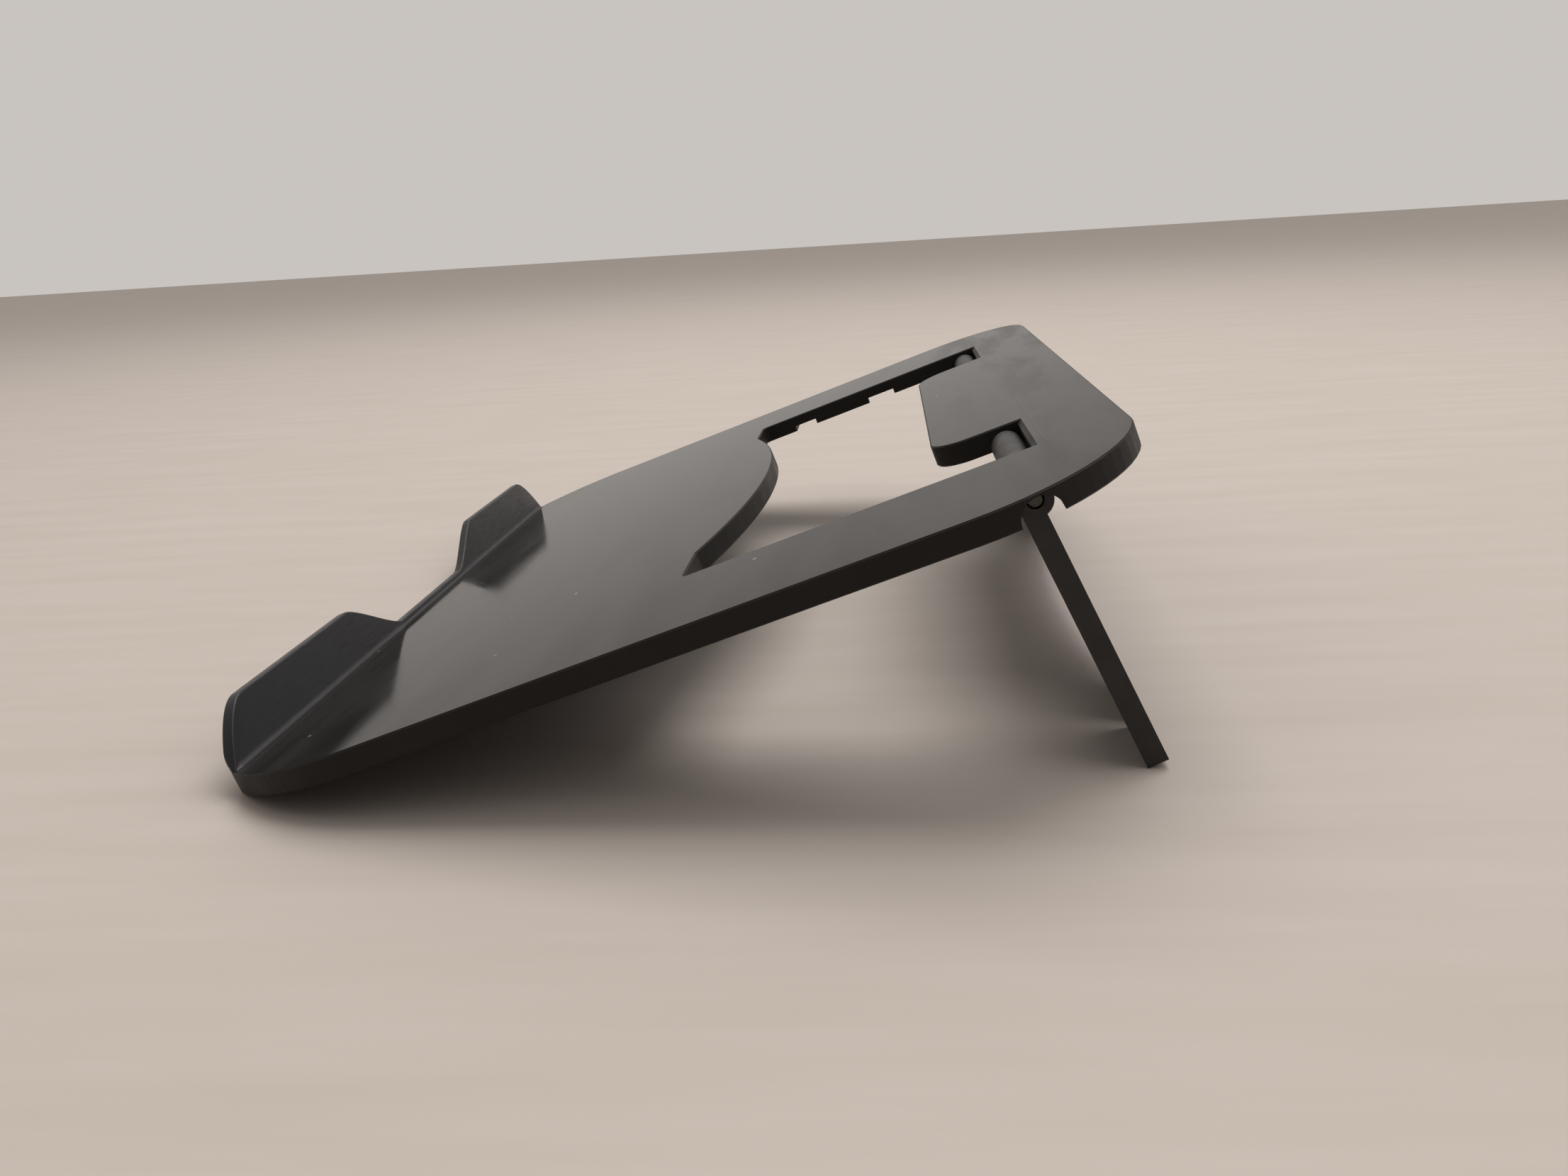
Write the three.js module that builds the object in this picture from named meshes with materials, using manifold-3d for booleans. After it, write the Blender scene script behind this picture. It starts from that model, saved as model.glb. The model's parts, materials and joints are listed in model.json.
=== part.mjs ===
// Folding tablet stand: a flat plate with a window in it, held up by a fold-out leg frame.
// Millimetres. The plate is drawn flat, then tilted: x runs across, y up the plate, z out of its top face.
import * as THREE from 'three';
import { mergeVertices } from 'three/addons/utils/BufferGeometryUtils.js';
import Module from 'manifold-3d';

// Plate
const PLATE_THICKNESS = 5;
const PLATE_HALF_WIDTH = 131;
const PLATE_FRONT = -171;
const PLATE_BACK = 18;
const FRONT_CORNER_RADIUS = 42;
const FRONT_CORNER_CENTRE = 32.5;
const FRONT_TIP_RADIUS = 3;
const BACK_CORNER_RADIUS = 34;
const EDGE_BREAK = 0.35;

// Window in the plate, with a tongue that reaches into it from the back and a bulge from the front
const WINDOW_HALF_WIDTH = 92;
const WINDOW_BACK = 0;
const WINDOW_FRONT = -75.5;
const WINDOW_CORNER_RADIUS = 1.5;
const BULGE_HALF_WIDTH = 72.5;
const BULGE_RISE = 10.6;
const TONGUE_HALF_WIDTH = 60.3;
const TONGUE_END = -20.3;
const TONGUE_CORNER_RADIUS = 8.5;

// Hinge
const AXIS_Y = -4.4;
const AXIS_Z = -4.6;
const BARREL_RADIUS = 3.45;
const GROOVE_RADIUS = 3.95;
const GROOVE_FLARE_Y = -0.2;
const GROOVE_ROOF_ANGLE = THREE.MathUtils.degToRad(18);
const BOSS_LENGTH = 12;
const BOSS_FOOT = 3;
const PIN_RADIUS = 1.5;
const PIN_CHAMFER = 0.3;
const PIN_INSET = 2;
const HOLE_RADIUS = 1.7;
const HINGE_GAP = 0.5;
const STEP_GAP = 0.3;
const STEP_DEPTH = 0.8;

// Leg frame, measured from the hinge axis
const LEG_HALF_WIDTH = 115;
const LEG_LENGTH = 56.7;
const LEG_FRONT_FACE = -3.37;
const LEG_BACK_FACE = 0.9;
const LEG_SPLAY = THREE.MathUtils.degToRad(6.4);
const LEG_FIT = 0.5;
const LEG_NOTCH_DEPTH = 17.5;
const FOOT_ARCH_HALF_WIDTH = 72;
const FOOT_ARCH_RISE = 10.5;
const BRIDGE_THICKNESS = 1.9;

// Underside of the side rails: a recess for the leg's arms, behind a thin rib with two pockets
const RIB_THICKNESS = 2.3;
const SKIN_THICKNESS = 0.85;
const POCKET_CEILING = -3.25;
const POCKETS = [[-38.5, -29.5], [-65, -57.6]];

// Front lip: two tabs joined by a low bar
const LIP_THICKNESS = 2.6;
const LIP_HEIGHT = 12.5;
const LIP_BAR_HEIGHT = 1.6;
const LIP_BAR_HALF_WIDTH = 24;
const LIP_RISE_END = 50;
const LIP_TOP_END = 103;
const LIP_RISE_EASE = 5;
const LIP_END_EASE = 4;
const LIP_HALF_WIDTH = 117.5;
const JOINT_GAP = 0.3;

const CUT_MARGIN = 1;
const ARC_STEPS = 16;
const TIP_STEPS = 4;
const ROUND_STEPS = 32;

// Tilt at which the plate's front edge and the leg's foot stand on one level
const footY = AXIS_Y + LEG_LENGTH * Math.sin(LEG_SPLAY) + LEG_FRONT_FACE * Math.cos(LEG_SPLAY);
const footZ = AXIS_Z - LEG_LENGTH * Math.cos(LEG_SPLAY) + LEG_FRONT_FACE * Math.sin(LEG_SPLAY);
const TILT = Math.atan2(-PLATE_THICKNESS - footZ, footY - PLATE_FRONT - EDGE_BREAK);

const wasm = await Module();
wasm.setup();

function toSolid(geometry) {
  const bare = geometry.clone();
  bare.deleteAttribute('normal');
  bare.deleteAttribute('uv');
  const merged = mergeVertices(bare, 1e-4);
  const vertProperties = new Float32Array(merged.attributes.position.array);
  const triVerts = new Uint32Array(merged.index.array);
  return new wasm.Manifold(new wasm.Mesh({ numProp: 3, vertProperties, triVerts }));
}

function toGeometry(solid) {
  const mesh = solid.getMesh();
  const geometry = new THREE.BufferGeometry();
  geometry.setAttribute('position', new THREE.BufferAttribute(new Float32Array(mesh.vertProperties), 3));
  geometry.setIndex(new THREE.BufferAttribute(new Uint32Array(mesh.triVerts), 1));
  geometry.computeVertexNormals();
  return geometry;
}

function cut(solid, tools) {
  return tools.reduce((rest, tool) => rest.subtract(tool), solid);
}

function join(solids) {
  return solids.reduce((whole, solid) => whole.add(solid));
}

// A box from its lowest and highest corners
function box(low, high) {
  const size = high.map((value, i) => value - low[i]);
  const geometry = new THREE.BoxGeometry(...size);
  geometry.translate(...low.map((value, i) => value + size[i] / 2));
  return toSolid(geometry);
}

// A round bar along x, centred on y = z = 0
function roundBar(radius, fromX, toX) {
  const geometry = new THREE.CylinderGeometry(radius, radius, toX - fromX, ROUND_STEPS);
  geometry.rotateZ(Math.PI / 2);
  geometry.translate((fromX + toX) / 2, 0, 0);
  return toSolid(geometry);
}

// A profile drawn in (y, z), swept along x
function sweepAlongX(shape, fromX, toX) {
  const geometry = new THREE.ExtrudeGeometry(shape, {
    depth: toX - fromX,
    bevelEnabled: false,
    curveSegments: ARC_STEPS,
  });
  geometry.rotateX(Math.PI / 2);
  geometry.rotateZ(Math.PI / 2);
  geometry.translate(fromX, 0, 0);
  return toSolid(geometry);
}

// An upright panel drawn in (x, z), from y = frontY to y = backY
function uprightPanel(shape, frontY, backY) {
  const geometry = new THREE.ExtrudeGeometry(shape, {
    depth: backY - frontY,
    bevelEnabled: false,
    curveSegments: ARC_STEPS,
  });
  geometry.rotateX(Math.PI / 2);
  geometry.translate(0, backY, 0);
  return toSolid(geometry);
}

function arcPoints(x, y, radius, from, to, steps) {
  return new THREE.EllipseCurve(x, y, radius, radius, from, to).getPoints(steps);
}

// Points in order round one half, from the front to the back, with their mirror images added
function mirrored(right) {
  const left = right.map((point) => new THREE.Vector2(-point.x, point.y)).reverse();
  return new THREE.Shape([...right, ...left]);
}

// The right front corner, from the front edge to an angle on the broad arc. That arc is tangent to the
// side only, so it meets the front edge at a small rounded tip.
function frontCorner(endAngle) {
  const arcX = PLATE_HALF_WIDTH - FRONT_CORNER_RADIUS;
  const arcY = PLATE_FRONT + FRONT_CORNER_CENTRE;
  const tipY = PLATE_FRONT + FRONT_TIP_RADIUS;
  const tipAngle = Math.asin((tipY - arcY) / (FRONT_CORNER_RADIUS - FRONT_TIP_RADIUS));
  const tipX = arcX + (FRONT_CORNER_RADIUS - FRONT_TIP_RADIUS) * Math.cos(tipAngle);
  const tip = arcPoints(tipX, tipY, FRONT_TIP_RADIUS, -Math.PI / 2, tipAngle, TIP_STEPS);
  const broad = arcPoints(arcX, arcY, FRONT_CORNER_RADIUS, tipAngle, endAngle, ARC_STEPS);
  return [...tip, ...broad.slice(1)];
}

function plateOutline() {
  const backX = PLATE_HALF_WIDTH - BACK_CORNER_RADIUS;
  const backY = PLATE_BACK - BACK_CORNER_RADIUS;
  const back = arcPoints(backX, backY, BACK_CORNER_RADIUS, 0, Math.PI / 2, ARC_STEPS);
  return mirrored([...frontCorner(0), ...back]);
}

function windowOutline() {
  const hole = new THREE.Path();
  const r = WINDOW_CORNER_RADIUS;
  const bulgeRadius = (BULGE_HALF_WIDTH ** 2 + BULGE_RISE ** 2) / (2 * BULGE_RISE);
  const bulgeCentreY = WINDOW_FRONT + BULGE_RISE - bulgeRadius;
  const bulgeAngle = Math.asin(BULGE_HALF_WIDTH / bulgeRadius);
  const tongueX = TONGUE_HALF_WIDTH - TONGUE_CORNER_RADIUS;
  const tongueY = TONGUE_END + TONGUE_CORNER_RADIUS;
  hole.moveTo(WINDOW_HALF_WIDTH, WINDOW_BACK);
  hole.lineTo(TONGUE_HALF_WIDTH, WINDOW_BACK);
  hole.absarc(tongueX, tongueY, TONGUE_CORNER_RADIUS, 0, -Math.PI / 2, true);
  hole.absarc(-tongueX, tongueY, TONGUE_CORNER_RADIUS, -Math.PI / 2, -Math.PI, true);
  hole.lineTo(-TONGUE_HALF_WIDTH, WINDOW_BACK);
  hole.lineTo(-WINDOW_HALF_WIDTH, WINDOW_BACK);
  hole.absarc(-WINDOW_HALF_WIDTH + r, WINDOW_FRONT + r, r, Math.PI, Math.PI * 1.5);
  hole.lineTo(-BULGE_HALF_WIDTH, WINDOW_FRONT);
  hole.absarc(0, bulgeCentreY, bulgeRadius, Math.PI / 2 + bulgeAngle, Math.PI / 2 - bulgeAngle, true);
  hole.absarc(WINDOW_HALF_WIDTH - r, WINDOW_FRONT + r, r, -Math.PI / 2, 0);
  hole.lineTo(WINDOW_HALF_WIDTH, WINDOW_BACK);
  return hole;
}

// The hinge groove: a round roof over the barrel, open below and flared towards the back
function grooveProfile() {
  const below = -PLATE_THICKNESS - CUT_MARGIN;
  const profile = new THREE.Shape();
  profile.moveTo(AXIS_Y - GROOVE_RADIUS, below);
  profile.lineTo(GROOVE_FLARE_Y, below);
  profile.absarc(AXIS_Y, AXIS_Z, GROOVE_RADIUS, GROOVE_ROOF_ANGLE, Math.PI);
  profile.lineTo(AXIS_Y - GROOVE_RADIUS, below);
  return profile;
}

function span(side, from, to) {
  return [Math.min(side * from, side * to), Math.max(side * from, side * to)];
}

// A step in the back wall of one slot beside the tongue, which closes the gap behind the barrel
function slotStep(side) {
  const stepY = AXIS_Y + BARREL_RADIUS + STEP_GAP;
  const insideY = WINDOW_BACK + CUT_MARGIN;
  const bottom = EDGE_BREAK - PLATE_THICKNESS;
  const profile = new THREE.Shape();
  profile.moveTo(insideY, bottom);
  profile.lineTo(insideY, -EDGE_BREAK);
  profile.lineTo(WINDOW_BACK, -EDGE_BREAK);
  profile.lineTo(stepY, -STEP_DEPTH);
  profile.lineTo(stepY, bottom);
  const [low, high] = span(side, TONGUE_HALF_WIDTH - CUT_MARGIN, WINDOW_HALF_WIDTH + CUT_MARGIN);
  return sweepAlongX(profile, low, high);
}

// What is cut from one side rail; side is 1 or -1
function railCuts(side) {
  const below = -PLATE_THICKNESS - CUT_MARGIN;
  const ribBack = WINDOW_HALF_WIDTH + RIB_THICKNESS;
  const [grooveLow, grooveHigh] = span(side, ribBack, PLATE_HALF_WIDTH + CUT_MARGIN);
  const [recessLow, recessHigh] = span(side, ribBack, LEG_HALF_WIDTH + LEG_FIT);
  const [pocketLow, pocketHigh] = span(side, WINDOW_HALF_WIDTH - CUT_MARGIN, ribBack + CUT_MARGIN);
  const recessFront = POCKETS[1][0];
  const groove = sweepAlongX(grooveProfile(), grooveLow, grooveHigh);
  const recess = box([recessLow, recessFront, below], [recessHigh, AXIS_Y, -SKIN_THICKNESS]);
  const pockets = POCKETS.map(([front, back]) => (
    box([pocketLow, front, below], [pocketHigh, back, POCKET_CEILING])
  ));
  return [groove, recess, ...pockets];
}

// The plate's own knuckles: a boss under the tongue and a lug on the rib, either side of the barrel
function knuckles(side) {
  const ribBack = WINDOW_HALF_WIDTH + RIB_THICKNESS;
  const spans = [
    span(side, TONGUE_HALF_WIDTH - BOSS_LENGTH, TONGUE_HALF_WIDTH),
    span(side, WINDOW_HALF_WIDTH, ribBack),
  ];
  return spans.map(([low, high]) => roundBar(BARREL_RADIUS, low, high).translate([0, AXIS_Y, AXIS_Z]));
}

// The boss runs on behind the axis and slopes up into the plate's underside
function bossFoot(side) {
  const lowest = AXIS_Z - BARREL_RADIUS;
  const profile = new THREE.Shape();
  profile.moveTo(AXIS_Y, -PLATE_THICKNESS + CUT_MARGIN);
  profile.lineTo(AXIS_Y, lowest);
  profile.lineTo(WINDOW_BACK, lowest);
  profile.lineTo(WINDOW_BACK + BOSS_FOOT, -PLATE_THICKNESS);
  profile.lineTo(WINDOW_BACK + BOSS_FOOT, -PLATE_THICKNESS + CUT_MARGIN);
  const [low, high] = span(side, TONGUE_HALF_WIDTH - BOSS_LENGTH, TONGUE_HALF_WIDTH);
  return sweepAlongX(profile, low, high);
}

function pinBore(side) {
  const [low, high] = span(side, pinInnerEnd() - HINGE_GAP, LEG_HALF_WIDTH);
  return roundBar(HOLE_RADIUS, low, high).translate([0, AXIS_Y, AXIS_Z]);
}

function deckPlate() {
  const shape = plateOutline();
  shape.holes.push(windowOutline());
  const slab = new THREE.ExtrudeGeometry(shape, {
    depth: PLATE_THICKNESS - 2 * EDGE_BREAK,
    bevelEnabled: true,
    bevelThickness: EDGE_BREAK,
    bevelSize: EDGE_BREAK,
    bevelOffset: -EDGE_BREAK,
    bevelSegments: 1,
    curveSegments: ARC_STEPS,
  });
  slab.translate(0, 0, EDGE_BREAK - PLATE_THICKNESS);
  const railed = cut(toSolid(slab), [...railCuts(1), ...railCuts(-1)]);
  const additions = [1, -1].flatMap((side) => [slotStep(side), bossFoot(side), ...knuckles(side)]);
  const knuckled = join([railed, ...additions]);
  return toGeometry(cut(knuckled, [pinBore(1), pinBore(-1)]));
}

// The leg's flat outline in (x, z), hanging down from the axis, with an arch between its feet
function legOutline() {
  const notchHalf = TONGUE_HALF_WIDTH + HINGE_GAP;
  const archRadius = (FOOT_ARCH_HALF_WIDTH ** 2 + FOOT_ARCH_RISE ** 2) / (2 * FOOT_ARCH_RISE);
  const archCentreZ = -LEG_LENGTH + FOOT_ARCH_RISE - archRadius;
  const archAngle = Math.asin(FOOT_ARCH_HALF_WIDTH / archRadius);
  const shape = new THREE.Shape();
  shape.moveTo(LEG_HALF_WIDTH, 0);
  shape.lineTo(notchHalf, 0);
  shape.lineTo(notchHalf, -LEG_NOTCH_DEPTH);
  shape.lineTo(-notchHalf, -LEG_NOTCH_DEPTH);
  shape.lineTo(-notchHalf, 0);
  shape.lineTo(-LEG_HALF_WIDTH, 0);
  shape.lineTo(-LEG_HALF_WIDTH, -LEG_LENGTH);
  shape.lineTo(-FOOT_ARCH_HALF_WIDTH, -LEG_LENGTH);
  shape.absarc(0, archCentreZ, archRadius, Math.PI / 2 + archAngle, Math.PI / 2 - archAngle, true);
  shape.lineTo(LEG_HALF_WIDTH, -LEG_LENGTH);
  return shape;
}

// A slot that lets the plate's rib pass, with two thin bridges left across it
function ribSlot(side) {
  const ribBack = WINDOW_HALF_WIDTH + RIB_THICKNESS;
  const [lowX, highX] = span(side, WINDOW_HALF_WIDTH - LEG_FIT, ribBack + LEG_FIT);
  const bridgeFace = LEG_BACK_FACE - BRIDGE_THICKNESS;
  const through = box(
    [lowX, -BARREL_RADIUS - CUT_MARGIN, -LEG_LENGTH - CUT_MARGIN],
    [highX, BARREL_RADIUS + CUT_MARGIN, BARREL_RADIUS + CUT_MARGIN],
  );
  const bridges = POCKETS.map(([front, back]) => box(
    [lowX - CUT_MARGIN, bridgeFace, front - AXIS_Y + LEG_FIT],
    [highX + CUT_MARGIN, BARREL_RADIUS + 2 * CUT_MARGIN, back - AXIS_Y - LEG_FIT],
  ));
  return cut(through, bridges);
}

function legFrame() {
  const panel = uprightPanel(legOutline(), LEG_FRONT_FACE, LEG_BACK_FACE);
  const innerEnd = TONGUE_HALF_WIDTH + HINGE_GAP;
  const barrels = [
    roundBar(BARREL_RADIUS, innerEnd, LEG_HALF_WIDTH),
    roundBar(BARREL_RADIUS, -LEG_HALF_WIDTH, -innerEnd),
  ];
  const end = LEG_HALF_WIDTH + CUT_MARGIN;
  const bore = roundBar(HOLE_RADIUS, -end, end);
  return toGeometry(cut(join([panel, ...barrels]), [bore, ribSlot(1), ribSlot(-1)]));
}

function pinInnerEnd() {
  return TONGUE_HALF_WIDTH - BOSS_LENGTH + PIN_INSET;
}

// One pin, from inside the tongue's boss out to the end face of the leg
function hingePin(side) {
  const halfLength = (LEG_HALF_WIDTH - pinInnerEnd()) / 2;
  const profile = [
    new THREE.Vector2(0, -halfLength),
    new THREE.Vector2(PIN_RADIUS - PIN_CHAMFER, -halfLength),
    new THREE.Vector2(PIN_RADIUS, PIN_CHAMFER - halfLength),
    new THREE.Vector2(PIN_RADIUS, halfLength - PIN_CHAMFER),
    new THREE.Vector2(PIN_RADIUS - PIN_CHAMFER, halfLength),
    new THREE.Vector2(0, halfLength),
  ];
  const geometry = new THREE.LatheGeometry(profile, ROUND_STEPS);
  geometry.rotateZ(Math.PI / 2);
  geometry.translate(side * (LEG_HALF_WIDTH + pinInnerEnd()) / 2, AXIS_Y, AXIS_Z);
  return geometry;
}

// The lip seen from the front: a low bar that slopes up to a flat-topped tab with a sloped outer end
function lipOutline() {
  const half = new THREE.Path();
  half.moveTo(0, LIP_BAR_HEIGHT);
  half.lineTo(LIP_BAR_HALF_WIDTH, LIP_BAR_HEIGHT);
  half.bezierCurveTo(
    LIP_BAR_HALF_WIDTH + LIP_RISE_EASE, LIP_BAR_HEIGHT,
    LIP_RISE_END - LIP_RISE_EASE, LIP_HEIGHT,
    LIP_RISE_END, LIP_HEIGHT,
  );
  half.lineTo(LIP_TOP_END, LIP_HEIGHT);
  half.bezierCurveTo(
    LIP_TOP_END + LIP_RISE_EASE, LIP_HEIGHT,
    LIP_HALF_WIDTH - LIP_END_EASE, LIP_HEIGHT / 2,
    LIP_HALF_WIDTH, JOINT_GAP,
  );
  half.lineTo(LIP_HALF_WIDTH, -CUT_MARGIN);
  const right = half.getPoints(ARC_STEPS);
  const left = right.slice(1).reverse().map((point) => new THREE.Vector2(-point.x, point.y));
  return new THREE.Shape([...right, ...left]);
}

// The lip seen from above: straight inside, and outside flush with the plate's edge and round corners
function lipFootprint() {
  const inset = FRONT_CORNER_CENTRE - LIP_THICKNESS;
  return mirrored(frontCorner(-Math.asin(inset / FRONT_CORNER_RADIUS)));
}

function frontLip() {
  const strip = new THREE.ExtrudeGeometry(lipFootprint(), {
    depth: LIP_HEIGHT + CUT_MARGIN - JOINT_GAP,
    bevelEnabled: false,
    curveSegments: ARC_STEPS,
  });
  strip.translate(0, 0, JOINT_GAP);
  const backY = PLATE_FRONT + FRONT_CORNER_CENTRE;
  const silhouette = uprightPanel(lipOutline(), PLATE_FRONT - CUT_MARGIN, backY);
  return toGeometry(toSolid(strip).intersect(silhouette));
}

const MATERIALS = {
  plate: { color: 0x2c2926, roughness: 0.25, metalness: 0 },
  leg: { color: 0x1d1b1a, roughness: 0.5, metalness: 0 },
  lip: { color: 0x1d1d21, roughness: 0.4, metalness: 0 },
  steel: { color: 0x8b857d, roughness: 0.35, metalness: 1 },
};

function piece(name, geometry, material) {
  const mesh = new THREE.Mesh(geometry, new THREE.MeshStandardMaterial(MATERIALS[material]));
  mesh.name = name;
  return mesh;
}

const legGroup = new THREE.Group();
legGroup.position.set(0, AXIS_Y, AXIS_Z);
legGroup.rotation.x = LEG_SPLAY;
legGroup.add(piece('leg_frame', legFrame(), 'leg'));

const plateGroup = new THREE.Group();
plateGroup.rotation.x = TILT;
plateGroup.add(
  piece('deck_plate', deckPlate(), 'plate'),
  piece('front_lip', frontLip(), 'lip'),
  piece('hinge_pin_right', hingePin(1), 'steel'),
  piece('hinge_pin_left', hingePin(-1), 'steel'),
  legGroup,
);

// Stand the whole on z = 0, with y = 0 midway between its front and back
const stand = new THREE.Group();
stand.add(plateGroup);
stand.updateMatrixWorld(true);
const bounds = new THREE.Box3().setFromObject(stand, true);
plateGroup.position.set(0, -(bounds.min.y + bounds.max.y) / 2, -bounds.min.z);

export default stand;
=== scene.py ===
"""Looks of a folding tablet stand: a tilted black plastic plate with a window, a front lip and a leg."""
import json
import math

import bmesh
import bpy
from mathutils import Matrix, Vector


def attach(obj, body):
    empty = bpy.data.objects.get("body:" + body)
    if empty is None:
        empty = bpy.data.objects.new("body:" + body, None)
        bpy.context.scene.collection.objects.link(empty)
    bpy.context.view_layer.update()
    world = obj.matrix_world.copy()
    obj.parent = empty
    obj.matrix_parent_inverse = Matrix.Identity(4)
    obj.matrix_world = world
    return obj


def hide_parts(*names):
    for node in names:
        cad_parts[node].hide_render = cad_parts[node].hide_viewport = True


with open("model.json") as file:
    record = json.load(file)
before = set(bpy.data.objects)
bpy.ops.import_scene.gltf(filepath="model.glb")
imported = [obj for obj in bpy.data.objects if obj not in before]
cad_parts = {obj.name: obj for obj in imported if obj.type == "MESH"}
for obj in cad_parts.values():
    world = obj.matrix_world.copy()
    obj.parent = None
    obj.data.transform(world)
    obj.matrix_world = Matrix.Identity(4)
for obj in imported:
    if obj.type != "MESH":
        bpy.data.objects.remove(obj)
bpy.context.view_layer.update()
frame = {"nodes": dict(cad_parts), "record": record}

MM = 0.001

# Where the plate lies: the hinge axis and the plate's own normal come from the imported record
JOINT = frame["record"]["behaviour"]["joints"][0]
MOUNTS = {mount["name"]: mount for mount in frame["record"]["mounts"]}
HINGE = Vector(JOINT["pos_m"])
FACE_NORMAL = Vector(MOUNTS["deck_face"]["axis"])
TILT = math.atan2(-FACE_NORMAL.y, FACE_NORMAL.z)
SPLAY = math.radians(JOINT["range_deg"][1] - 90)
FACE_ABOVE_HINGE = (Vector(MOUNTS["deck_face"]["pos_m"]) - HINGE).dot(FACE_NORMAL)
LIP_INNER_FACE = (Vector(MOUNTS["lip_face"]["pos_m"]) - HINGE).dot(Vector(MOUNTS["lip_face"]["axis"]))

# Lip, and the front corner of the plate that it follows
LIP_THICKNESS = 2.6 * MM
LIP_THINNEST = 0.2 * MM
LIP_HEIGHT = 12.5 * MM
LIP_BAR_HEIGHT = 1.6 * MM
LIP_BAR_HALF_WIDTH = 24 * MM
LIP_RISE_END = 50 * MM
LIP_TOP_END = 103 * MM
LIP_RISE_EASE = 5 * MM
LIP_END_EASE = 4 * MM
LIP_HALF_WIDTH = 117.5 * MM
# Painted highlight along the lip's top edge: it starts at this height and is full at the top
LIP_HIGHLIGHT_FROM = 0.93 * LIP_HEIGHT
LIP_END_HEIGHT = 0.3 * MM
LIP_EDGE_RADIUS = 0.5 * MM
LIP_EDGE_SHARE = 0.45
LIP_ROOT_FILLET = 1.3 * MM
LIP_ARC_STEPS = 6
LIP_STATION_STEPS = 28
PLATE_HALF_WIDTH = 131 * MM
PLATE_CORNER_RADIUS = 42 * MM
PLATE_CORNER_CENTRE = 32.5 * MM
PLATE_TIP_RADIUS = 3 * MM
SEAT_CLEARANCE = 0.02 * MM

# An edge bent by less than this is smooth; facing goes from 0 to 1 between these two cosines
SMOOTH_LIMIT = math.radians(35)
FACING_RANGE = (0.85, 0.97)

# Hinge and window
BARREL_RADIUS = 3.45 * MM
# Painted light on the barrel: a lighter tone, for the light that falls on it through the slot, fades out
# from the barrel's radius to this reach
BARREL_PAINTED_LIGHT_END = 1.04 * BARREL_RADIUS
WINDOW_HALF_WIDTH = 92 * MM

# Witness line on the plate's face
WITNESS_BEHIND_HINGE = 6.4 * MM
WITNESS_WIDTH = 0.35 * MM
WITNESS_HEIGHT = 0.05 * MM

# Camera: place in metres from the hinge and turn in degrees, both in the plate's own axes; lens in mm
CAMERA_FROM_HINGE = Vector((0.3407, -0.0073, 0.0568))
CAMERA_YAW = 10.29
CAMERA_PITCH = -13.74
CAMERA_ROLL = -22.59
CAMERA_LENS = 29.26
CAMERA_CLIP_START = 10 * MM
SENSOR_WIDTH = 36

# Layer height of the print, and the plate's gloss on the shader's own scale, where 0.5 is unadjusted
LAYER_PITCH = 0.25 * MM
PRINT_GLOSS = 0.10

# Smudges on the plate's face: the noise values they span, where from the hinge they fade, the share left
SMUDGE_RANGE = (0.34, 0.62)
SMUDGE_FADE = (-35 * MM, 15 * MM)
SMUDGE_FAINTEST = 0.25

# Dust: cells to a metre, a speck's size in its cell, and the share of cells that have one
PLATE_DUST = (190, 0.10, 0.05)
LEG_DUST = (240, 0.10, 0.03)
LIP_DUST = (260, 0.11, 0.06)

# Roughness of each surface, smoothest and roughest; haze adds its own where it is full
PLATE_FACE_ROUGH = (0.045, 0.075)
PLATE_HAZE_ROUGH = 0.24
PLATE_SIDE_ROUGH = (0.36, 0.50)
LEG_ROUGH = (0.42, 0.60)
LIP_ROUGH = (0.34, 0.50)
STEEL_ROUGH = (0.24, 0.42)
FLOOR_ROUGH = 0.6

# Relief of each surface
PLATE_LAYER_DEPTH = 0.012 * MM
PLATE_WAVE_DEPTH = 0.02 * MM
LEG_LAYER_DEPTH = 0.015 * MM
LEG_GRIT_DEPTH = 0.06 * MM
LIP_LAYER_DEPTH = 0.010 * MM
LIP_FIBRE_DEPTH = 0.02 * MM
STEEL_DRAWN_DEPTH = 0.01 * MM

# Tones of each surface, one end of a blend and the other, with its specks and, for the lip, a painted
# highlight along its top edge
# The plate's sides: their own mottled tone, raised to paint in fill light that the room does not give them
PLATE_SIDE_TONES_WITH_PAINTED_FILL = ((0.0200, 0.0178, 0.0162, 1), (0.0300, 0.0270, 0.0248, 1))
PLATE_TOP_TONES = ((0.0080, 0.0070, 0.0062, 1), (0.085, 0.079, 0.074, 1))
PLATE_SPECK = (0.42, 0.41, 0.40, 1)
LEG_TONES = ((0.011, 0.0097, 0.009, 1), (0.024, 0.0215, 0.0193, 1))
# Painted light on the leg's barrel: a lighter mottled tone for the light through the slot
BARREL_PAINTED_LIGHT_TONES = ((0.030, 0.0285, 0.027, 1), (0.085, 0.081, 0.077, 1))
LEG_SPECK = (0.25, 0.24, 0.23, 1)
LIP_TONES = ((0.0105, 0.0105, 0.0125, 1), (0.019, 0.019, 0.022, 1))
# Painted highlight: the lighter tone streaked along the lip's top edge
LIP_TOP_HIGHLIGHT = (0.06, 0.058, 0.06, 1)
LIP_SPECK = (0.30, 0.30, 0.31, 1)
STEEL_TONES = ((0.36, 0.34, 0.32, 1), (0.56, 0.54, 0.51, 1))
STEEL_END_TONES = ((0.045, 0.040, 0.036, 1), (0.10, 0.092, 0.084, 1))
FLOOR_TONES = ((0.62, 0.545, 0.485, 1), (0.73, 0.655, 0.60, 1))

# Room: its tone towards the far side and the near side, and the x of a direction at which each is reached
WORLD_FAR = (0.584, 0.552, 0.527, 1)
WORLD_NEAR = (0.19, 0.180, 0.172, 1)
WORLD_SPREAD = (-0.5, 0.7)

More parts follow.
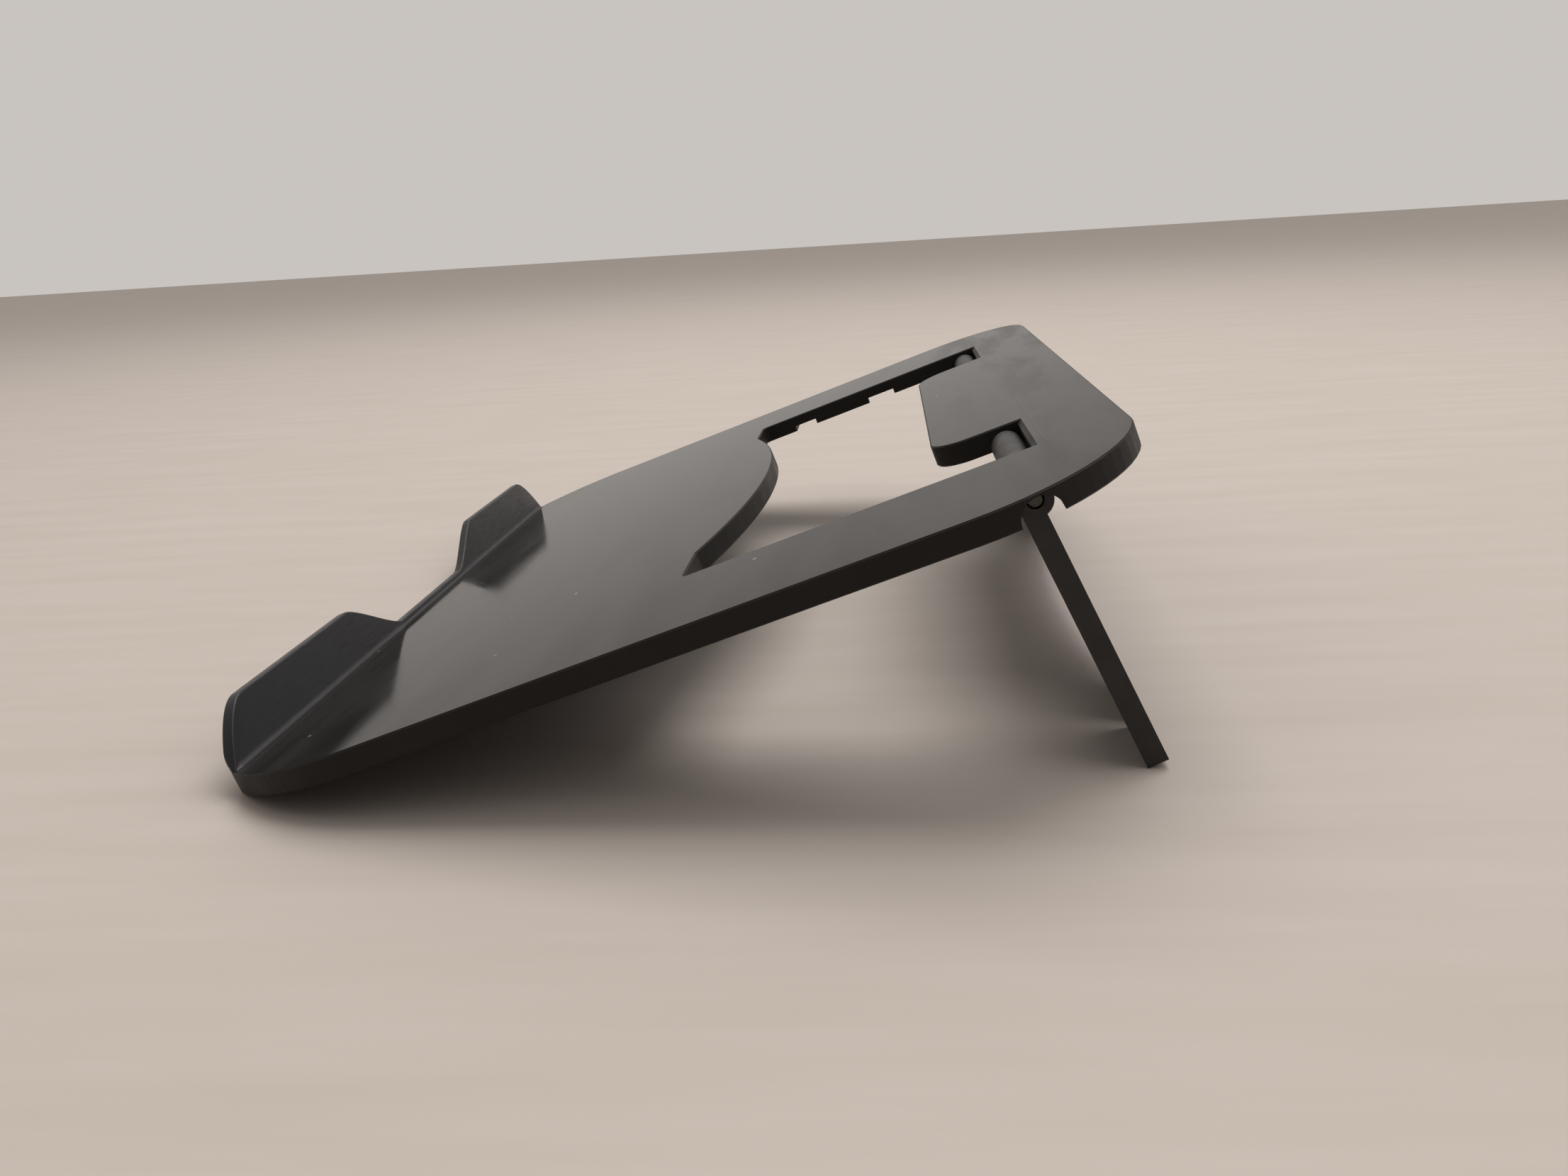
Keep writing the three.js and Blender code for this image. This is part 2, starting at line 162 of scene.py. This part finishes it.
# Floor and lamps, in metres; a lamp is its name, place, size, watts and colour
FLOOR_SIZE = 8.0
LAMPS = (
    ("ceiling", (-0.5, 0.1, 1.5), 1.2, 13.0, (1.0, 0.98, 0.95)),
    ("side", (0.4, 0.9, 1.1), 0.9, 1.8, (0.97, 0.98, 1.0)),
)


def add_camera():
    camera = bpy.data.objects.new("camera", bpy.data.cameras.new("camera"))
    camera.data.lens = CAMERA_LENS
    camera.data.sensor_width = SENSOR_WIDTH
    camera.data.clip_start = CAMERA_CLIP_START
    yaw = math.radians(CAMERA_YAW)
    pitch = math.radians(CAMERA_PITCH)
    forward = Vector((
        -math.cos(yaw) * math.cos(pitch),
        -math.sin(yaw) * math.cos(pitch),
        math.sin(pitch),
    ))
    level_right = forward.cross(Vector((0, 0, 1))).normalized()
    level_up = level_right.cross(forward)
    roll = math.radians(CAMERA_ROLL)
    right = level_right * math.cos(roll) + level_up * math.sin(roll)
    up = right.cross(forward)
    tilted = Matrix.Rotation(TILT, 4, "X")
    turn = Matrix((right, up, -forward)).transposed().to_4x4()
    camera.matrix_world = Matrix.Translation(HINGE) @ tilted @ Matrix.Translation(CAMERA_FROM_HINGE) @ turn
    bpy.context.collection.objects.link(camera)
    bpy.context.scene.camera = camera


class Nodes:
    """A material's node tree, with short calls for the nodes used here."""

    def __init__(self, name):
        self.material = bpy.data.materials.new(name)
        self.material.use_nodes = True
        self.tree = self.material.node_tree
        self.shader = self.tree.nodes["Principled BSDF"]

    def add(self, kind, **settings):
        node = self.tree.nodes.new(kind)
        for key, value in settings.items():
            setattr(node, key, value)
        return node

    def link(self, source, target):
        self.tree.links.new(source, target)

    def feed(self, socket, value):
        if isinstance(value, bpy.types.NodeSocket):
            self.link(value, socket)
        else:
            socket.default_value = value

    def math(self, operation, first, second=0.0):
        node = self.add("ShaderNodeMath", operation=operation)
        self.feed(node.inputs[0], first)
        self.feed(node.inputs[1], second)
        return node.outputs[0]

    def ramp(self, value, low, high, out_low=0.0, out_high=1.0):
        node = self.add("ShaderNodeMapRange", clamp=True)
        self.feed(node.inputs["Value"], value)
        node.inputs["From Min"].default_value = low
        node.inputs["From Max"].default_value = high
        node.inputs["To Min"].default_value = out_low
        node.inputs["To Max"].default_value = out_high
        return node.outputs["Result"]

    def blend(self, factor, first, second):
        node = self.add("ShaderNodeMix", data_type="RGBA")
        self.feed(node.inputs["Factor"], factor)
        self.feed(node.inputs["A"], first)
        self.feed(node.inputs["B"], second)
        return node.outputs["Result"]

    def noise(self, where, scale, detail):
        """Cloudy noise: its scale in cells to a metre, its detail in octaves."""
        node = self.add("ShaderNodeTexNoise")
        self.link(where, node.inputs["Vector"])
        node.inputs["Scale"].default_value = scale
        node.inputs["Detail"].default_value = detail
        return node.outputs["Fac"]

    def bump(self, height, distance, after=None):
        node = self.add("ShaderNodeBump")
        node.inputs["Distance"].default_value = distance
        self.link(height, node.inputs["Height"])
        if after is not None:
            self.link(after, node.inputs["Normal"])
        return node.outputs["Normal"]

    def local(self, turn):
        """Object coordinates about the hinge axis, turned about x by an angle."""
        coords = self.add("ShaderNodeTexCoord")
        mapping = self.add("ShaderNodeMapping", vector_type="POINT")
        rotation = Matrix.Rotation(-turn, 3, "X")
        mapping.inputs["Rotation"].default_value = (-turn, 0, 0)
        mapping.inputs["Location"].default_value = -(rotation @ HINGE)
        self.link(coords.outputs["Object"], mapping.inputs["Vector"])
        return mapping.outputs["Vector"]

    def spread(self, noise, low, high):
        """A noise's middle values, where most of them lie, spread over a range."""
        return self.ramp(noise, 0.3, 0.7, low, high)

    def stretch(self, where, x, y, z):
        """Coordinates multiplied along each axis; above 1, a pattern is finer that way."""
        mapping = self.add("ShaderNodeMapping", vector_type="POINT")
        mapping.inputs["Scale"].default_value = (x, y, z)
        self.link(where, mapping.inputs["Vector"])
        return mapping.outputs["Vector"]

    def split(self, where):
        node = self.add("ShaderNodeSeparateXYZ")
        self.link(where, node.inputs[0])
        return node.outputs

    def facing(self, direction):
        """1 where the surface faces a direction, 0 where it doesn't."""
        coords = self.add("ShaderNodeTexCoord")
        dot = self.add("ShaderNodeVectorMath", operation="DOT_PRODUCT")
        self.link(coords.outputs["Normal"], dot.inputs[0])
        dot.inputs[1].default_value = direction
        return self.ramp(dot.outputs["Value"], *FACING_RANGE)

    def dust(self, where, scale, size, share):
        """Sparse specks: small Voronoi cells, of which only a share are lit."""
        cells = self.add("ShaderNodeTexVoronoi")
        self.link(where, cells.inputs["Vector"])
        cells.inputs["Scale"].default_value = scale
        speck = self.ramp(cells.outputs["Distance"], size, size * 0.5)
        hue = self.add("ShaderNodeSeparateColor")
        self.link(cells.outputs["Color"], hue.inputs[0])
        chosen = self.math("GREATER_THAN", hue.outputs[0], 1.0 - share)
        return self.math("MULTIPLY", speck, chosen)

    def layer_lines(self, height):
        """A ripple across the print layers, one wave to a layer."""
        return self.math("SINE", self.math("MULTIPLY", height, 2 * math.pi / LAYER_PITCH))


def witness_line(m, axes):
    """A faint raised line across the face, just behind the hinge, as wide as the window."""
    across = m.math("LESS_THAN", m.math("ABSOLUTE", axes[0]), WINDOW_HALF_WIDTH)
    away = m.math("ABSOLUTE", m.math("SUBTRACT", axes[1], WITNESS_BEHIND_HINGE))
    return m.math("MULTIPLY", m.ramp(away, WITNESS_WIDTH, 0.0), across)


def plate_material():
    m = Nodes("black_plate")
    m.shader.inputs["Specular IOR Level"].default_value = PRINT_GLOSS
    where = m.local(TILT)
    axes = m.split(where)
    top = m.facing(FACE_NORMAL)
    smudge = m.ramp(m.noise(m.stretch(where, 0.35, 1.6, 1), 62, 3), *SMUDGE_RANGE)
    haze = m.math("MULTIPLY", smudge, m.ramp(axes[1], *SMUDGE_FADE, SMUDGE_FAINTEST, 1.0))
    fine = m.noise(m.stretch(where, 1, 14, 1), 260, 2)
    specks = m.math("MULTIPLY", m.dust(where, *PLATE_DUST), top)
    # Sides take a mottled tone that is partly their own and partly painted fill light
    side_tone_with_painted_fill = m.blend(m.noise(where, 60, 3), *PLATE_SIDE_TONES_WITH_PAINTED_FILL)
    top_tone = m.blend(haze, *PLATE_TOP_TONES)
    tone = m.blend(top, side_tone_with_painted_fill, top_tone)
    m.link(m.blend(specks, tone, PLATE_SPECK), m.shader.inputs["Base Color"])
    haze_rough = m.math("MULTIPLY", haze, PLATE_HAZE_ROUGH)
    face_rough = m.math("ADD", m.spread(fine, *PLATE_FACE_ROUGH), haze_rough)
    side_rough = m.spread(m.noise(where, 140, 3), *PLATE_SIDE_ROUGH)
    rough = m.add("ShaderNodeMix", data_type="FLOAT")
    m.feed(rough.inputs["Factor"], top)
    m.feed(rough.inputs["A"], side_rough)
    m.feed(rough.inputs["B"], face_rough)
    m.link(rough.outputs["Result"], m.shader.inputs["Roughness"])
    layers = m.math("MULTIPLY", m.layer_lines(axes[2]), m.math("SUBTRACT", 1.0, top))
    ripple = m.bump(layers, PLATE_LAYER_DEPTH)
    witness = m.bump(witness_line(m, axes), WITNESS_HEIGHT, after=ripple)
    wave = m.bump(m.noise(where, 55, 1), PLATE_WAVE_DEPTH, after=witness)
    m.link(wave, m.shader.inputs["Normal"])
    return m.material


def leg_material():
    m = Nodes("dark_leg")
    where = m.local(TILT + SPLAY)
    axes = m.split(where)
    blotch = m.noise(where, 70, 4)
    tone = m.blend(blotch, *LEG_TONES)
    reach = m.math("SQRT", m.math("ADD", m.math("POWER", axes[1], 2), m.math("POWER", axes[2], 2)))
    inside = m.math("LESS_THAN", m.math("ABSOLUTE", axes[0]), WINDOW_HALF_WIDTH)
    # Painted light: where the barrel shows in the window, it is drawn in a lighter tone for the light
    # falling on it through the slot
    barrel = m.math("MULTIPLY", m.ramp(reach, BARREL_PAINTED_LIGHT_END, BARREL_RADIUS), inside)
    barrel_painted_light = m.blend(m.noise(where, 420, 3), *BARREL_PAINTED_LIGHT_TONES)
    specks = m.dust(where, *LEG_DUST)
    plain = m.blend(barrel, tone, barrel_painted_light)
    m.link(m.blend(specks, plain, LEG_SPECK), m.shader.inputs["Base Color"])
    m.link(m.spread(m.noise(where, 160, 3), *LEG_ROUGH), m.shader.inputs["Roughness"])
    ripple = m.bump(m.layer_lines(axes[1]), LEG_LAYER_DEPTH)
    grit = m.bump(m.noise(where, 900, 3), LEG_GRIT_DEPTH, after=ripple)
    m.link(grit, m.shader.inputs["Normal"])
    return m.material


def lip_material():
    m = Nodes("black_lip")
    where = m.local(TILT)
    axes = m.split(where)
    # Painted highlight along the lip's top edge, streaked by the fibre noise
    top_highlight_band = m.ramp(axes[2], FACE_ABOVE_HINGE + LIP_HIGHLIGHT_FROM, FACE_ABOVE_HINGE + LIP_HEIGHT)
    fibre = m.noise(m.stretch(where, 0.35, 1, 6), 420, 3)
    tone = m.blend(m.noise(where, 55, 3), *LIP_TONES)
    lip_tone_with_highlight = m.blend(m.math("MULTIPLY", top_highlight_band, m.ramp(fibre, 0.45, 0.65)), tone, LIP_TOP_HIGHLIGHT)
    specks = m.dust(where, *LIP_DUST)
    m.link(m.blend(specks, lip_tone_with_highlight, LIP_SPECK), m.shader.inputs["Base Color"])
    m.link(m.spread(fibre, *LIP_ROUGH), m.shader.inputs["Roughness"])
    ripple = m.bump(m.layer_lines(axes[2]), LIP_LAYER_DEPTH)
    m.link(m.bump(fibre, LIP_FIBRE_DEPTH, after=ripple), m.shader.inputs["Normal"])
    return m.material


def steel_material():
    m = Nodes("drawn_steel")
    where = m.local(TILT)
    m.shader.inputs["Metallic"].default_value = 1.0
    drawn = m.noise(m.stretch(where, 0.2, 1, 1), 1500, 3)
    bright = m.blend(drawn, *STEEL_TONES)
    cut_end = m.math("MAXIMUM", m.facing((1, 0, 0)), m.facing((-1, 0, 0)))
    stain = m.blend(m.noise(where, 900, 3), *STEEL_END_TONES)
    m.link(m.blend(cut_end, bright, stain), m.shader.inputs["Base Color"])
    m.link(m.spread(drawn, *STEEL_ROUGH), m.shader.inputs["Roughness"])
    m.link(m.bump(drawn, STEEL_DRAWN_DEPTH), m.shader.inputs["Normal"])
    return m.material


def bezier(points, t):
    a, b, c, d = (Vector(point) for point in points)
    u = 1 - t
    return a * u ** 3 + b * 3 * u * u * t + c * 3 * u * t * t + d * t ** 3


def lip_stations():
    """Places across half the lip, with the lip's height at each."""
    rise = (
        (LIP_BAR_HALF_WIDTH, LIP_BAR_HEIGHT), (LIP_BAR_HALF_WIDTH + LIP_RISE_EASE, LIP_BAR_HEIGHT),
        (LIP_RISE_END - LIP_RISE_EASE, LIP_HEIGHT), (LIP_RISE_END, LIP_HEIGHT),
    )
    end = (
        (LIP_TOP_END, LIP_HEIGHT), (LIP_TOP_END + LIP_RISE_EASE, LIP_HEIGHT),
        (LIP_HALF_WIDTH - LIP_END_EASE, LIP_HEIGHT / 2), (LIP_HALF_WIDTH, LIP_END_HEIGHT),
    )
    stations = [Vector((0, LIP_BAR_HEIGHT)), Vector((LIP_BAR_HALF_WIDTH / 2, LIP_BAR_HEIGHT))]
    stations += [bezier(rise, i / LIP_STATION_STEPS) for i in range(LIP_STATION_STEPS + 1)]
    stations += [Vector(((LIP_RISE_END + LIP_TOP_END) / 2, LIP_HEIGHT))]
    stations += [bezier(end, i / LIP_STATION_STEPS) for i in range(LIP_STATION_STEPS + 1)]
    return stations


def lip_section(height, setback):
    """The lip cut across: (inward, up) points from the outer foot, over the top, to the hollow root."""
    outer = min(setback, LIP_THICKNESS - LIP_THINNEST)
    edge = min(LIP_EDGE_RADIUS, height * LIP_EDGE_SHARE, (LIP_THICKNESS - outer) * LIP_EDGE_SHARE)
    root = min(LIP_ROOT_FILLET, height / 2)
    arcs = (
        (outer + edge, height - edge, edge, math.pi, -math.pi / 2),
        (LIP_THICKNESS - edge, height - edge, edge, math.pi / 2, -math.pi / 2),
        (LIP_THICKNESS + root, root, root, math.pi, math.pi / 2),
    )
    points = [(outer, 0)]
    for inward, up, radius, start, turn in arcs:
        for i in range(LIP_ARC_STEPS + 1):
            angle = start + turn * i / LIP_ARC_STEPS
            points.append((inward + radius * math.cos(angle), up + radius * math.sin(angle)))
    return points


def corner_setback(x):
    """How far the plate's outline lies behind its front edge: none, then a small tip, then a broad arc."""
    reach = PLATE_CORNER_RADIUS - PLATE_TIP_RADIUS
    drop = PLATE_CORNER_CENTRE - PLATE_TIP_RADIUS
    arc_x = PLATE_HALF_WIDTH - PLATE_CORNER_RADIUS
    tip_x = arc_x + math.sqrt(reach ** 2 - drop ** 2)
    tip_end = arc_x + (tip_x - arc_x) * PLATE_CORNER_RADIUS / reach
    if abs(x) <= tip_x:
        return 0.0
    if abs(x) <= tip_end:
        return PLATE_TIP_RADIUS - math.sqrt(PLATE_TIP_RADIUS ** 2 - (abs(x) - tip_x) ** 2)
    return PLATE_CORNER_CENTRE - math.sqrt(PLATE_CORNER_RADIUS ** 2 - (abs(x) - arc_x) ** 2)


def build_lip():
    half = lip_stations()
    stations = [Vector((-point.x, point.y)) for point in reversed(half[1:])] + half
    along = Vector((0, math.cos(TILT), math.sin(TILT)))
    outer = LIP_INNER_FACE - LIP_THICKNESS
    mesh = bmesh.new()
    rings = []
    for station in stations:
        ring = []
        for inward, up in lip_section(station.y, corner_setback(station.x)):
            place = HINGE + along * (outer + inward)
            place += FACE_NORMAL * (FACE_ABOVE_HINGE + SEAT_CLEARANCE + up)
            ring.append(mesh.verts.new((station.x, place.y, place.z)))
        rings.append(ring)
    for first, second in zip(rings, rings[1:]):
        count = len(first)
        for i in range(count):
            j = (i + 1) % count
            mesh.faces.new((first[i], first[j], second[j], second[i]))
    mesh.faces.new(rings[0])
    mesh.faces.new(reversed(rings[-1]))
    bmesh.ops.recalc_face_normals(mesh, faces=mesh.faces)
    for face in mesh.faces:
        face.smooth = True
    for edge in mesh.edges:
        edge.smooth = edge.calc_face_angle(0) < SMOOTH_LIMIT
    data = bpy.data.meshes.new("moulded_lip")
    mesh.to_mesh(data)
    mesh.free()
    lip = bpy.data.objects.new("moulded_lip", data)
    bpy.context.collection.objects.link(lip)
    lip.data.materials.append(lip_material())
    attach(lip, "deck")
    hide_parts("front_lip")


def dress(node, material):
    data = frame["nodes"][node].data
    data.materials.clear()
    data.materials.append(material)


def floor_material():
    m = Nodes("pale_floor")
    coords = m.add("ShaderNodeTexCoord").outputs["Object"]
    grain = m.noise(m.stretch(coords, 9, 1.2, 1), 9, 4)
    m.link(m.blend(grain, *FLOOR_TONES), m.shader.inputs["Base Color"])
    m.shader.inputs["Roughness"].default_value = FLOOR_ROUGH
    return m.material


def add_floor():
    bpy.ops.mesh.primitive_plane_add(size=FLOOR_SIZE, location=(0, 0, 0))
    floor = bpy.context.object
    floor.name = "floor"
    floor.data.materials.append(floor_material())


def add_lamp(name, place, size, power, color):
    """A square area lamp aimed at the origin."""
    data = bpy.data.lights.new(name, "AREA")
    data.shape = "SQUARE"
    data.size = size
    data.energy = power
    data.color = color
    light = bpy.data.objects.new(name, data)
    light.location = place
    light.rotation_euler = (-Vector(place)).to_track_quat("-Z", "Y").to_euler()
    bpy.context.collection.objects.link(light)


def add_world():
    """A pale room, brighter beyond the far side (-x) than on the near side."""
    world = bpy.data.worlds.new("studio")
    world.use_nodes = True
    tree = world.node_tree
    background = tree.nodes["Background"]
    coords = tree.nodes.new("ShaderNodeTexCoord")
    parts = tree.nodes.new("ShaderNodeSeparateXYZ")
    ramp = tree.nodes.new("ShaderNodeMapRange")
    tone = tree.nodes.new("ShaderNodeMix")
    tone.data_type = "RGBA"
    ramp.inputs["From Min"].default_value = WORLD_SPREAD[0]
    ramp.inputs["From Max"].default_value = WORLD_SPREAD[1]
    tone.inputs["A"].default_value = WORLD_FAR
    tone.inputs["B"].default_value = WORLD_NEAR
    tree.links.new(coords.outputs["Generated"], parts.inputs[0])
    tree.links.new(parts.outputs[0], ramp.inputs["Value"])
    tree.links.new(ramp.outputs["Result"], tone.inputs["Factor"])
    tree.links.new(tone.outputs["Result"], background.inputs["Color"])
    bpy.context.scene.world = world


bpy.context.scene.view_settings.view_transform = "Standard"
add_camera()
add_world()
add_floor()
for lamp in LAMPS:
    add_lamp(*lamp)

dress("deck_plate", plate_material())
dress("leg_frame", leg_material())
steel = steel_material()
for pin in ("hinge_pin_right", "hinge_pin_left"):
    dress(pin, steel)
build_lip()

bpy.context.view_layer.update()
